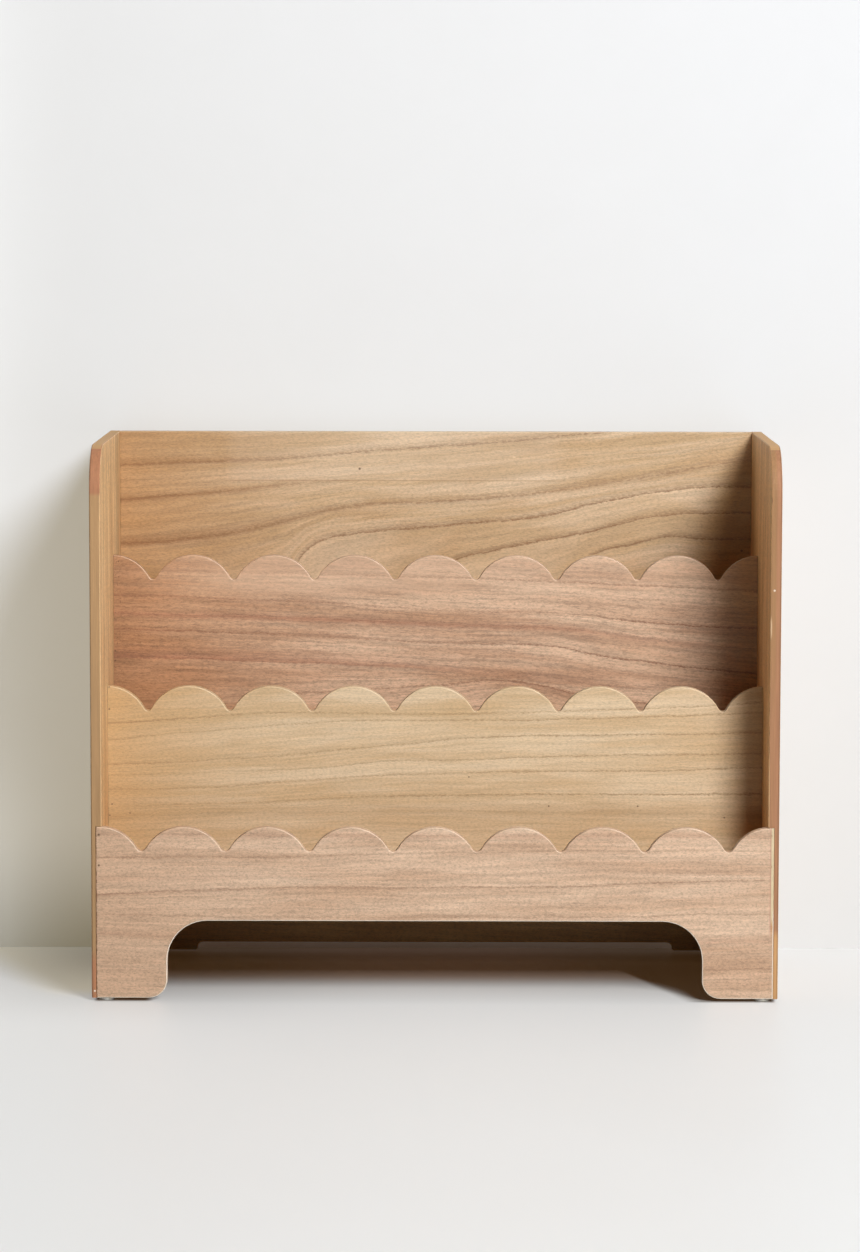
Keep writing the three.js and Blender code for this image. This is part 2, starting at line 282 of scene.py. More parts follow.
# How much of each tone shows: bands, the stain of rings at the warm end, rings and their pores.
# Growth is the number of years per millimetre, and late is how much darker each one ends. The
# reliefs are what fibres, flecks and pores add to the height.
BAND_SHARE = 0.75
STAIN_SHARE = 0.75
RING_SHARE = 0.34
PORE_SHARE = 0.62
GROWTH_PER_MM = 0.17
LATE_SHARE = -0.08
FLECK_CAP = 0.56
UPPER_STRIPE_CAP = 1.13
UPPER_STRIPE_SOFTNESS = 0.1
FIBRE_RELIEF = 0.5
FLECK_RELIEF = 0.4
PORE_RELIEF = -0.6

# How the ring lines wander: the noise's scales and detail, and its reach in millimetres
WANDER = (
    ((0.012, 0.05, 0.02), 2.0, 4.0),
    ((0.09, 0.3, 0.1), 2.0, 2.6),
    ((0.45, 0.7, 0.6), 1.0, 2.4),
)

BACK_LINES = (
    Line(((-300, 300), (120, 352), (147, 373), (176, 381), (215, 389), (241, 387), (300, 387)),
         ((-300, 0.6), (300, 0.9)), 1.2, 7.0, "ring"),
    Line(((-300, 315), (-10, 350), (16, 366), (53, 376), (129, 391), (167, 400), (203, 408),
          (300, 411)),
         ((-300, 0.6), (200, 0.9), (300, 0.7)), 1.2, 8.0, "ring"),
    Line(((-300, 330), (-140, 345), (-127, 366), (-113, 381), (-70, 391), (3, 398), (91, 407),
          (147, 419), (213, 431), (300, 434)),
         ((-300, 0.8), (0, 0.9), (300, 0.8)), 1.2, 9.0, "ring"),
    Line(((-300, 382), (-216, 388), (-142, 402), (-86, 415), (3, 421), (80, 427), (156, 438),
          (222, 449), (300, 462)),
         ((-300, 1.0), (-120, 0.7), (150, 0.6), (300, 0.5)), 5.0, 10.0, "ring"),
    Line(((-300, 421), (-216, 428), (-136, 436), (-60, 442), (60, 452), (300, 478)),
         ((-300, 1.0), (-180, 0.6), (-110, 0.4), (-40, 0.0), (300, 0.1)), 4.5, 6.0, "ring"),
    Line(((-300, 454), (-211, 457), (-133, 460), (-42, 469), (53, 475), (143, 484), (300, 502)),
         ((-300, 0.7), (100, 0.7), (300, 0.6)), 3.0, 8.0, "ring"),
    Line(((-300, 520), (0, 524), (300, 545)), ((-300, 0.6), (300, 0.6)), 1.5, 9.0, "ring"),
    Line(((-300, 560), (0, 569), (300, 590)), ((-300, 0.5), (300, 0.7)), 1.5, 8.0, "ring"),
    Line(((-300, 610), (0, 622), (300, 636)), ((-300, 0.7), (300, 0.5)), 1.5, 12.0, "ring"),
    Line(((-300, 668), (0, 674), (300, 690)), ((-300, 0.5), (300, 0.6)), 1.5, 9.0, "ring"),
)
UPPER_LINES = (
    Line(((-300, 246), (14, 262), (60, 266), (136, 252), (300, 236)),
         ((-300, 0.0), (0, 0.5), (180, 0.7), (300, 0.5)), 1.5, 4.0, "ring"),
    Line(((-300, 286), (-198, 284), (-90, 280), (14, 274), (140, 262), (300, 250)),
         ((-300, 1.0), (-50, 0.8), (60, 0.3), (300, 0.3)), 1.5, 15.0, "band"),
    Line(((-300, 311), (-198, 309), (-88, 304), (14, 299), (100, 297), (160, 287), (300, 271)),
         ((-300, 0.6), (0, 0.45), (150, 0.8), (300, 1.0)), 1.0, 3.5, "ring"),
    Line(((-300, 326), (-90, 320), (14, 316), (118, 312), (200, 302), (300, 292)),
         ((-300, 0.8), (-50, 0.9), (120, 0.6), (300, 0.3)), 5.0, 6.0, "band"),
    Line(((-300, 342), (-206, 340), (-132, 337), (14, 329), (118, 326), (192, 318), (300, 312)),
         ((-300, 0.5), (0, 0.35), (120, 0.35), (220, 0.9), (300, 0.9)), 1.0, 3.5, "ring"),
    Line(((-300, 366), (-130, 362), (-4, 359), (105, 355), (300, 346)),
         ((-300, 0.1), (-90, 0.5), (300, 0.6)), 1.2, 4.5, "ring"),
)
MIDDLE_LINES = (
    Line(((-300, 150), (-189, 155), (0, 157), (300, 154)),
         ((-300, 0.35), (0, 0.5), (300, 0.6)), 8.0, 9.0, "band"),
    Line(((-300, 160), (-156, 165), (-105, 168), (2, 171), (300, 173)),
         ((-300, 0.1), (-150, 0.4), (60, 0.6), (300, 0.8)), 0.9, 2.0, "ring"),
    Line(((-300, 176), (-205, 178), (-101, 185), (2, 191), (162, 193), (300, 197)),
         ((-300, 0.3), (0, 0.5), (300, 0.7)), 0.9, 2.2, "ring"),
    Line(((-300, 188), (-105, 196), (-51, 201), (5, 203), (128, 207), (300, 209)),
         ((-300, 0.0), (-60, 0.4), (300, 0.6)), 0.9, 2.0, "ring"),
    Line(((-300, 197), (-125, 208), (0, 220), (66, 224), (168, 226), (300, 228)),
         ((-300, 0.4), (0, 0.5), (300, 0.7)), 0.9, 2.2, "ring"),
    Line(((-300, 220), (-205, 228), (-149, 233), (-83, 237), (85, 239), (300, 246)),
         ((-300, 0.3), (-60, 0.5), (300, 0.5)), 0.9, 2.0, "ring"),
    Line(((-300, 235), (-226, 239), (-149, 245), (2, 244), (227, 251), (300, 256)),
         ((-300, 0.5), (0, 0.5), (300, 0.6)), 0.9, 2.2, "ring"),
)
FRONT_LINES = (
    Line(((-300, 27), (0, 24), (300, 29)), ((-300, 0.2), (200, 0.4), (300, 0.8)), 0.9, 2.0, "ring"),
    Line(((-300, 60), (-230, 57), (0, 52), (220, 52), (300, 55)),
         ((-300, 0.7), (-150, 0.3), (180, 0.5), (300, 0.6)), 3.5, 6.0, "band"),
    Line(((-300, 76), (0, 74), (300, 78)), ((-300, 0.3), (300, 0.4)), 1.0, 3.0, "ring"),
    Line(((-300, 94), (-252, 96), (-191, 99), (-76, 101), (5, 101), (140, 103), (230, 107),
          (300, 108)),
         ((-300, 0.9), (-200, 0.5), (20, 0.6), (150, 0.6), (300, 0.5)), 4.0, 1.2, "ring"),
    Line(((-300, 108), (-150, 110), (0, 112), (200, 114), (300, 113)),
         ((-300, 0.5), (-120, 0.2), (120, 0.1), (240, 0.25), (300, 0.5)), 3.5, 4.0, "band"),
    Line(((-300, 126), (-199, 127), (-100, 128), (-1, 131), (300, 133)),
         ((-300, 0.5), (100, 0.3), (300, 0.3)), 1.0, 2.5, "ring"),
    Line(((-300, 147), (0, 146), (300, 147)), ((-300, 0.4), (0, 0.7), (300, 0.5)), 4.0, 5.0, "band"),
)
SIDE_LINES = (
    Line(((0, -118), (250, -112), (490, -116)), ((0, 0.5), (490, 0.6)), 1.2, 5.0, "ring"),
    Line(((0, -92), (200, -80), (490, -88)), ((0, 0.6), (490, 0.4)), 1.2, 7.0, "ring"),
    Line(((0, -60), (180, -36), (490, -50)), ((0, 0.5), (490, 0.6)), 1.2, 8.0, "ring"),
    Line(((0, -20), (220, 14), (490, -6)), ((0, 0.4), (490, 0.7)), 1.4, 9.0, "ring"),
    Line(((0, 28), (250, 52), (490, 38)), ((0, 0.6), (490, 0.5)), 1.2, 8.0, "ring"),
    Line(((0, 74), (280, 88), (490, 78)), ((0, 0.5), (490, 0.6)), 1.2, 6.0, "ring"),
    Line(((0, 108), (250, 112), (490, 104)), ((0, 0.5), (490, 0.5)), 1.2, 5.0, "ring"),
)
FLOOR_LINES = tuple(
    Line(((-300, left), (0, middle), (300, right)), ((-300, 0.5), (300, 0.5)), 1.2, above, "ring")
    for left, middle, right, above in (
        (-90, -84, -94, 5.0),
        (-62, -70, -66, 6.0),
        (-22, -12, -20, 6.0),
        (14, 6, 10, 6.0),
        (58, 66, 54, 6.0),
        (92, 88, 96, 6.0),
    )
)

# A mark is a small spot on a face: its place in millimetres, its half width and half height
Mark = namedtuple("Mark", "x z wide high colour")
PIN = tone(92, 64, 44)
CHIP = tone(250, 236, 216)
DULL_CHIP = tone(236, 206, 168)
SCRAPE = tone(222, 190, 152)
BACK_MARKS = (
    Mark(-70, 451, 1.1, 1.1, PIN),
    Mark(282, 376, 1.1, 1.1, PIN),
    Mark(72, 462, 1.6, 0.8, DULL_CHIP),
)
UPPER_MARKS = tuple(Mark(-289, z, 0.8, 0.8, PIN) for z in (292, 283))
MIDDLE_MARKS = tuple(
    Mark(*place, PIN)
    for place in (
        (-289, 268, 0.8, 0.8),
        (-289, 248, 0.8, 0.8),
        (-287, 163, 0.7, 0.7),
        (-289, 153, 0.7, 0.7),
        (-271, 155, 0.8, 0.5),
        (30, 188, 0.7, 0.7),
        (101, 162, 0.8, 0.8),
        (180, 162, 0.8, 0.8),
        (257, 152, 0.8, 0.8),
    )
)
SIDE_MARKS = (
    Mark(290.9, 440, 0.6, 3.0, PIN),
    Mark(293.9, 361.7, 0.9, 0.9, CHIP),
    Mark(291.2, 329, 0.8, 9.0, SCRAPE),
    Mark(-297.3, 8.8, 0.9, 0.9, CHIP),
)

# Length is where the grain starts and how far it runs, and axis is where it folds. Light and dark
# are the tones that the wood drifts between; warm is its left end, ring and band are its lines, and
# arris its eased edges. Reach is how far the warm end spreads. Grit is how strong the specks show,
# streak how strong the long fibres show, speck how fine the specks are along the grain, and core how
# strong the thin core of each ring line is.
Board = namedtuple(
    "Board",
    "name grain length lines light dark warm ring band arris reach grit streak speck core axis marks",
    defaults=(0.85, None, ()),
)
BOARDS = (
    Board(
        name="back_wood", grain="across", length=(-300, 600), lines=BACK_LINES, axis=340,
        marks=BACK_MARKS, light=tone(218, 191, 158), dark=tone(197, 166, 127),
        warm=tone(178, 134, 86), ring=tone(134, 96, 62), band=tone(160, 110, 68),
        arris=tone(236, 208, 174), reach=240.0, grit=0.95, streak=0.65, speck=0.3,
    ),
    Board(
        name="upper_wood", grain="across", length=(-300, 600), lines=UPPER_LINES,
        marks=UPPER_MARKS, light=tone(209, 177, 149), dark=tone(182, 145, 117),
        warm=tone(170, 121, 80), ring=tone(130, 88, 62), band=tone(158, 108, 82),
        arris=tone(236, 204, 172), reach=240.0, grit=1.4, streak=1.35, speck=0.27,
    ),
    Board(
        name="middle_wood", grain="across", length=(-300, 600), lines=MIDDLE_LINES,
        marks=MIDDLE_MARKS, light=tone(220, 195, 161), dark=tone(205, 175, 136),
        warm=tone(194, 157, 108), ring=tone(142, 106, 66), band=tone(172, 138, 98),
        arris=tone(240, 214, 172), reach=180.0, grit=0.8, streak=0.5, speck=0.32, core=0.75,
    ),
    Board(
        name="front_wood", grain="across", length=(-300, 600), lines=FRONT_LINES,
        light=tone(220, 189, 161), dark=tone(198, 163, 134),
        warm=tone(204, 168, 138), ring=tone(140, 102, 76), band=tone(178, 136, 110),
        arris=tone(246, 220, 190), reach=180.0, grit=1.2, streak=0.75, speck=0.45, core=0.45,
    ),
    Board(
        name="side_wood", grain="upright", length=(0, 490), lines=SIDE_LINES,
        marks=SIDE_MARKS, light=tone(216, 180, 140), dark=tone(192, 150, 106),
        warm=tone(198, 150, 104), ring=tone(150, 106, 68), band=tone(166, 118, 76),
        arris=tone(226, 188, 146), reach=1.0, grit=2.0, streak=1.4, speck=0.3,
    ),
    Board(
        name="floor_wood", grain="flat", length=(-300, 600), lines=FLOOR_LINES,
        light=tone(212, 174, 130), dark=tone(192, 152, 106),
        warm=tone(200, 156, 108), ring=tone(146, 104, 66), band=tone(166, 120, 80),
        arris=tone(232, 200, 160), reach=1.0, grit=1.0, streak=0.7, speck=0.35,
    ),
)

# Painted light: the left panel's wood is made paler all over, for its inner face that the lamp
# lights from the right. The right one's wood is warmer
LEFT_LIGHT_GAIN = (1.27, 1.34, 1.3, 1.0)
LEFT_LIGHT_GAIN_LOW = (1.18, 1.17, 1.08, 1.0)
RIGHT_GAIN = (1.15, 1.05, 0.82, 1.0)

# Cut edges of the side panels, the painted highlight on their inner arrises, and the pale strip at
# the right end of the front panel
EDGE_RED = tone(180, 124, 88)
EDGE_TAN = tone(186, 146, 102)
INNER_ARRIS_HIGHLIGHT = tone(226, 188, 140)
EDGE_SALMON = tone(172, 122, 88)
EDGE_ORANGE = tone(162, 120, 80)
EDGE_LOW = tone(206, 156, 104)
EDGE_TOP = tone(200, 158, 108)
STRIP_PALE = tone(222, 205, 165)
STRIP_ORANGE = tone(196, 144, 96)
STRIP_LINE = tone(196, 138, 120)
STRIP_START = 292.9
CREAM = tone(252, 240, 222)

# A straight joint in the back panel's veneer, paler wood above it and on the upper panel's
# crests, and dashes along the front panel's left end
SEAM_HEIGHT = 440.2
SEAM = tone(156, 116, 80)
ABOVE_SEAM = tone(232, 212, 190)
ABOVE_SEAM_SHARE = 0.12
CREST = tone(232, 198, 168)
DASH = tone(122, 80, 50)

# Tints of the front panel's right foot, painted shade at the inner boards' right ends, and painted
# shade on the back panel below the lowest bin
FOOT_TINT = (0.94, 0.91, 0.89, 1.0)
CORNER_SHADE_TINT = (0.6, 0.47, 0.27, 1.0)
BELOW_BINS_SHADE_TINT = (1.0, 0.74, 0.4, 1.0)

# Zones on the boards, named in the same way as those on the floor and the wall

# On the side panels:
LEFT_OR_RIGHT_X = (-10.0, 10.0)
PALE_FACE_Z = (180.0, 400.0)
UPRIGHT_STRIP_Y = (52.0, 64.0)
UPRIGHT_STRIP_END_Y = (96.0, 106.0)
TAN_EDGE_Z = (150.0, 330.0)
RED_FOOT_Z = (30.0, 50.0)
RED_TOP_Z = (442.0, 446.0)
OUTER_TONE_W = (294.0, 297.0)
OUTER_TONE_Z = (240.0, 330.0)
LOW_EDGE_Z = (56.0, 66.0)
REAR_EDGE_Y = (30.0, 80.0)
RIM_W = (298.4, 299.2)
INNER_ARRIS_W = (294.0, 296.0)
INNER_ARRIS_END_Z = (440.0, 446.0)
HIGHLIGHT_ARRIS_Z = (190.0, 230.0)

# On the front panel:
FOOT_Z = (30.0, 70.0)
FOOT_X = (190.0, 240.0)
STRIP_TONE_Z = (66.0, 76.0)
STRIP_Z = (54.0, 68.0)
CREAM_END_Z = (76.0, 84.0)
CREAM_X = (-295.2, -294.6)
DASH_END_X = (-295.6, -294.2)

# On the back panel, whose front face is told from its back face by Y:
IN_BACK_PANEL_Y = (117.0, 119.0)
SEAM_X = (-200.0, -180.0)
SEAM_END_X = (100.0, 125.0)
BELOW_BINS_SHADE_Z = (68.0, 84.0)
CLEAR_CORE_X = (-170.0, 10.0)

# On the upper panel, and for the painted corner shade at the right end of the three inner boards:
CREST_Z = (336.0, 352.0)
CREST_X = (-280.0, -150.0)
CREST_END_X = (-20.0, 80.0)
PITS_END_X = (-286.0, -278.0)
DARK_END_X = (-292.0, -240.0)
CORNER_X = (262.0, 315.0)
CORNER_TOP_X = (275.0, 310.0)

# The two tones that each smaller material drifts between
DOWEL_TONES = (tone(196, 158, 112), tone(230, 200, 156))
STEEL_TONES = (tone(110, 84, 62), tone(146, 116, 90))
PUTTY_TONES = (tone(196, 160, 126), tone(214, 182, 146))
PAD_TONES = (tone(200, 195, 182), tone(228, 224, 214))


def place_in_frame(shader):
    """The point's X, Y and Z in millimetres."""
    point = shader.node("ShaderNodeTexCoord").outputs["Object"]
    inputs = {0: point, 1: (MM_PER_METRE,) * 3}
    scaled = shader.node("ShaderNodeVectorMath", inputs, operation="MULTIPLY").outputs[0]
    return tuple(shader.split(scaled))


def leaning(shader, x, y, lean):
    """X, moved to the right by a share of the distance behind the front face."""
    return shader.scaled(shader.math("ADD", y, -FRONT_Y), lean, x)


def in_board(values, grain):
    """Sorts X, Y and Z into along the grain, across it and through the board."""
    x, y, z = values
    return {"across": (x, z, y), "upright": (z, y, x), "flat": (x, y, z)}[grain]


def fold_at(shader, across, axis):
    """Mirrors the grain at the axis, rounded there, so that its lines close into arches."""
    if axis is None:
        return across
    offset = shader.math("SUBTRACT", across, float(axis))
    squared = shader.scaled(offset, offset, FOLD_RADIUS ** 2)
    return shader.math("ADD", shader.math("SQRT", squared), float(axis))


def line_values(shader, position, line, low, span):
    """The line's height and strength at this position along the board."""
    path = [((x - low) / span, (z - ACROSS_LOW) / ACROSS_SPAN) for x, z in line.path]
    strength = [((x - low) / span, value) for x, value in line.strength]
    height, power, _ = shader.curves(position, path, strength)
    return shader.scaled(height, ACROSS_SPAN, ACROSS_LOW), power


def soft_shade(shader, offset, line, power):
    """The shade that fades out on both sides of a line."""
    below = shader.math("MULTIPLY", offset, -1 / line.below)
    above = shader.math("MULTIPLY", offset, 1 / line.above)
    left = shader.math("SUBTRACT", 1.0, shader.math("MAXIMUM", below, above), clamp=True)
    return shader.math("MULTIPLY", shader.math("POWER", left, SHADE_POWER), power)


def ring_core(shader, offset, power):
    """The thin dark line at the end of a year's growth."""
    near = shader.absolute(shader.math("SUBTRACT", offset, CORE_OFFSET))
    core = shader.scaled(near, CORE_SLOPE, CORE_START, clamp=True)
    return shader.math("MULTIPLY", core, power)


def line_shades(shader, lines, offsets, powers):
    """How strongly the cores, the rings and the bands show."""
    shades = {"core": 0.0, "ring": 0.0, "band": 0.0}
    for line, offset, power in zip(lines, offsets, powers):
        shade = soft_shade(shader, offset, line, power)
        shades[line.kind] = shader.math("ADD", shades[line.kind], shade)
        if line.kind == "ring":
            core = ring_core(shader, offset, power)
            shades["core"] = shader.math("MAXIMUM", shades["core"], core)
    return shades


def even_height(shader, lines, offsets, heights):
    """The height across the grain, stretched so that it stays the same along each line."""
    middles = [sum(z for _, z in line.path) / len(line.path) for line in lines]
    field = shader.math("ADD", shader.math("MINIMUM", offsets[0], 0.0), middles[0])
    for index in range(len(lines) - 1):
        gap = shader.math("SUBTRACT", heights[index + 1], heights[index])
        share = shader.math("DIVIDE", offsets[index], gap, clamp=True)
        step = middles[index + 1] - middles[index]
        field = shader.scaled(share, step, field)
    return shader.math("ADD", field, shader.math("MAXIMUM", offsets[-1], 0.0))


def grain_field(shader, along, across, board):
    """The grain's own height, and the shades of its lines."""
    low, span = board.length
    position = shader.scaled(along, 1 / span, -low / span)
    values = [line_values(shader, position, line, low, span) for line in board.lines]
    heights = [height for height, _ in values]
    powers = [power for _, power in values]
    offsets = [shader.math("SUBTRACT", across, height) for height in heights]
    shades = line_shades(shader, board.lines, offsets, powers)
    return even_height(shader, board.lines, offsets, heights), shades


def grain_place(shader, place, board):
    """The height across the grain, unsteady like a real ring line."""
    steps = [
        shader.scaled(shader.stretched_noise(place, scales, detail), reach, -reach / 2)
        for scales, detail, reach in WANDER
    ]
    return fold_at(shader, shader.total(place[1], *steps), board.axis)


def add_marks(shader, colour, point, normal, marks):
    """Small pin knots, filled holes and chips on the faces that look to the front."""
    x, _, z = point
    in_front = shader.between(normal[1], -0.8, -0.5, 0.8, 0.0)
    for mark in marks:
        wide = shader.math("MULTIPLY", shader.math("SUBTRACT", x, float(mark.x)), 1 / mark.wide)
        high = shader.math("MULTIPLY", shader.math("SUBTRACT", z, float(mark.z)), 1 / mark.high)
        share = shader.times(shader.fall(shader.distance(wide, high), 0.5, 1.4), in_front)
        colour = shader.mix(share, colour, mark.colour)
    return colour


def side_faces(shader, colour, point, right):
    """The faces' wood: painted paler on the left as painted light, warmer on the right, with a darker
    upright strip.
    """
    _, y, z = point
    left_light_gain = shader.mix(shader.between(z, *PALE_FACE_Z), LEFT_LIGHT_GAIN_LOW, LEFT_LIGHT_GAIN)
    colour = shader.mix(1.0, colour, shader.mix(right, left_light_gain, RIGHT_GAIN), "MULTIPLY")
    strip = shader.times(shader.between(y, *UPRIGHT_STRIP_Y), shader.fall(y, *UPRIGHT_STRIP_END_Y))
    return shader.darken(colour, shader.scaled(strip, -0.22, 1.0))


def side_cut_edges(shader, point, normal, right, width):
    """Cut edges: red lengths on the left, two tones on the right, and plain ones at the rear."""
    _, y, z = point
    tan_length = shader.darken(EDGE_TAN, shader.between(z, *TAN_EDGE_Z, 0.88, 1.0))
    red_lengths = shader.math("MAXIMUM", shader.fall(z, *RED_FOOT_Z), shader.between(z, *RED_TOP_Z))
    left_front = shader.mix(red_lengths, tan_length, EDGE_RED)
    outer = shader.times(
        shader.fall(width, *OUTER_TONE_W), shader.between(z, *OUTER_TONE_Z, 0.3, 1.0)
    )
    right_front = shader.mix(outer, EDGE_SALMON, EDGE_ORANGE)
    right_front = shader.mix(shader.between(z, *LOW_EDGE_Z), EDGE_LOW, right_front)
    cut = shader.mix(right, left_front, right_front)
    cut = shader.mix(shader.between(y, *REAR_EDGE_Y), cut, EDGE_TAN)
    rim = shader.between(width, *RIM_W, 1.0, 0.65)
    streak = shader.stretched_noise(point, (0.6, 0.3, 0.02), 3.0, 0.6)
    cut = shader.darken(cut, shader.times(shader.scaled(streak, 0.6, 0.7), rim))
    return shader.mix(shader.between(normal[2], 0.90, 0.96), cut, EDGE_TOP)


def side_panel_looks(shader, colour, point, normal):
    """The side panels' faces, cut edges and a painted highlight on the inner arrises, with the share
    of plain face.
    """
    x, _, z = point
    right = shader.between(x, *LEFT_OR_RIGHT_X)
    width = shader.absolute(x)
    facing = shader.absolute(normal[0])
    face = shader.between(facing, 0.4, 0.75)
    edges = side_cut_edges(shader, point, normal, right, width)
    colour = shader.mix(face, edges, side_faces(shader, colour, point, right))
    # painted highlight along the inner arrises of the front edges, full on the left panel and low
    # down on the right
    inner = shader.times(
        shader.between(facing, 0.2, 0.4),
        shader.fall(facing, 0.85, 0.97),
        shader.fall(width, *INNER_ARRIS_W),
        shader.fall(z, *INNER_ARRIS_END_Z),
    )
    on_left = shader.scaled(right, -0.8, 0.8)
    pale = shader.math("MAXIMUM", on_left, shader.between(z, *HIGHLIGHT_ARRIS_Z, 0.8, 0.1))
    return shader.mix(shader.times(inner, pale), colour, INNER_ARRIS_HIGHLIGHT), face


def pale_strip(shader, colour, point):
    """The pale strip at the front panel's right end, with a line along its start."""
    x, _, z = point
    strip = shader.mix(shader.between(z, *STRIP_TONE_Z), STRIP_ORANGE, STRIP_PALE)
    grain = shader.stretched_noise(point, (1.0, 0.2, 0.12), 3.0, 0.65)
    strip = shader.darken(strip, shader.scaled(grain, 0.5, 0.74))
    upper = shader.between(z, *STRIP_Z)
    share = shader.times(shader.between(x, STRIP_START, STRIP_START + 0.5, 0.0, 0.85), upper)
    colour = shader.mix(share, colour, strip)
    edge = shader.absolute(shader.math("SUBTRACT", x, STRIP_START))
    line = shader.times(shader.between(edge, 0.2, 0.9, 0.6, 0.0), upper)
    return shader.mix(line, colour, STRIP_LINE)


def front_panel_looks(shader, colour, point, facing):
    """A darker right foot, the pale strip, cream arrises low down, and dashes at the left end."""
    x, _, z = point
    right_foot = shader.times(shader.fall(z, *FOOT_Z), shader.between(x, *FOOT_X))
    colour = shader.mix(right_foot, colour, shader.tinted(colour, FOOT_TINT))
    colour = pale_strip(shader, colour, point)
    cream = shader.times(
        shader.times(shader.between(facing, 0.1, 0.3), shader.fall(facing, 0.95, 0.99)),
        shader.between(z, *CREAM_END_Z, 0.95, 0.0),
        shader.between(x, *CREAM_X),
    )
    colour = shader.mix(cream, colour, CREAM)
    broken = shader.between(shader.stretched_noise(point, (0.3, 0.3, 0.35), 2.0, 0.6), 0.42, 0.56)
    dashes = shader.times(shader.between(x, *DASH_END_X, 0.75, 0.0), broken)
    return shader.mix(dashes, colour, DASH)


def back_panel_looks(shader, colour, point):
    """The joint in the veneer with paler wood above it, and a painted brown shade below the bins."""
    x, y, z = point
    front = shader.fall(y, *IN_BACK_PANEL_Y)
    length = shader.times(shader.between(x, *SEAM_X), shader.fall(x, *SEAM_END_X), front)
    above = shader.times(shader.between(z, SEAM_HEIGHT, SEAM_HEIGHT + 0.5), length)
    colour = shader.mix(shader.times(above, ABOVE_SEAM_SHARE), colour, ABOVE_SEAM)
    distance = shader.absolute(shader.math("SUBTRACT", z, SEAM_HEIGHT))
    line = shader.times(shader.between(distance, 0.2, 0.9, 0.35, 0.0), length)
    colour = shader.mix(line, colour, SEAM)
    # painted shade: the back panel's front face below the lowest bin is darkened and browned
    shade_below_bins = shader.times(shader.fall(z, *BELOW_BINS_SHADE_Z), front)
    return shader.mix(shade_below_bins, colour, shader.tinted(colour, BELOW_BINS_SHADE_TINT))


def upper_panel_looks(shader, colour, point):
    """Paler wood towards the crests, and a darker left end with small pits."""
    x, _, z = point
    share = shader.times(
        shader.between(z, *CREST_Z),
        shader.between(x, *CREST_X, 0.05, 0.35),
        shader.between(x, *CREST_END_X, 1.0, 0.5),
    )
    colour = shader.mix(share, colour, CREST)
    pit = shader.between(shader.stretched_noise(point, (0.7, 0.7, 0.5), 1.0), 0.66, 0.74)
    pits = shader.times(pit, shader.between(x, *PITS_END_X, 0.7, 0.0))
    end = shader.between(x, *DARK_END_X, 0.86, 1.0)
    return shader.mix(pits, shader.darken(colour, end), PIN)


def corner_shade(shader, colour, point):
    """Painted shade at the right end, darker and warmer, wider towards the back and away from the
    top.
    """
    x, y, z = point
    reach = leaning(shader, x, y, CORNER_LEAN)
    height = shader.scaled(shader.math("SUBTRACT", TOP_Z, z), CORNER_DROP, x)
    share = shader.times(
        shader.between(reach, *CORNER_X),
        shader.between(height, *CORNER_TOP_X),
        shader.fall(y, *IN_BACK_PANEL_Y),
    )
    return shader.mix(share, colour, shader.tinted(colour, CORNER_SHADE_TINT))


def wood_base(shader, point, board, grained, shades, fibre, fleck):
    """The wood's broad colours with its fibres and specks."""
    broad = shader.stretched_noise(grained, (0.006, 0.07, 0.03), 3.0, 0.55)
    hue = shader.stretched_noise(grained, (0.009, 0.03, 0.01), 2.0)
    drift = shader.times(broad, 1.5)
    growth = shader.math("FRACT", shader.scaled(grained[1], GROWTH_PER_MM, drift))
    base = shader.mix(shader.between(broad, 0.32, 0.68), board.dark, board.light)
    left_warmth = shader.between(point[0], -320.0, -300.0 + board.reach, 0.85, 0.0)
    warmth = shader.math("MAXIMUM", shader.between(hue, 0.45, 0.8, 0.0, 0.4), left_warmth)
    base = shader.mix(warmth, base, board.warm)
    band = shader.math("MULTIPLY", shades["band"], BAND_SHARE, clamp=True)
    base = shader.mix(band, base, board.band)
    late = shader.scaled(shader.math("POWER", growth, 3.0), LATE_SHARE, 1.02)
    stripes = shader.scaled(fibre, board.streak, 1.0 - 0.5 * board.streak)
    if board.name == "upper_wood":
        stripes = shader.math("SMOOTH_MIN", stripes, UPPER_STRIPE_CAP, UPPER_STRIPE_SOFTNESS)
    dark_fleck = shader.math("MINIMUM", fleck, FLECK_CAP)
    flecks = shader.scaled(dark_fleck, 1.05 * board.grit, 1.01 - 0.51 * board.grit)
    base = shader.darken(base, shader.times(late, stripes, flecks))
    warm_rings = shader.times(shades["ring"], left_warmth)
    stain = shader.math("MULTIPLY", warm_rings, STAIN_SHARE, clamp=True)
    return shader.mix(stain, base, board.band)


def wood_rings(shader, base, board, shades, pore, fleck):
    """Adds the ring lines: a soft shade, dots where the pores are, and a thin core."""
    reach = shader.math("MULTIPLY", shades["ring"], 0.22)
    dots = shader.between(shader.total(pore, reach), 0.52, 0.68)
    dotted = shader.times(dots, shader.scaled(shades["ring"], 0.75, 0.06), board.grit)
    soft = shader.math("MULTIPLY", shades["ring"], RING_SHARE, clamp=True)
    base = shader.mix(soft, base, board.ring)
    dotted = shader.math("MULTIPLY", dotted, PORE_SHARE, clamp=True)
    base = shader.mix(dotted, base, board.ring)
    broken = shader.between(pore, 0.38, 0.56, 0.25, 1.0)
    core = shader.times(shades["core"], shader.scaled(fleck, 1.5, 0.0, clamp=True), broken)
    core = shader.math("MULTIPLY", core, board.core, clamp=True)
    return shader.mix(core, base, board.ring), dots


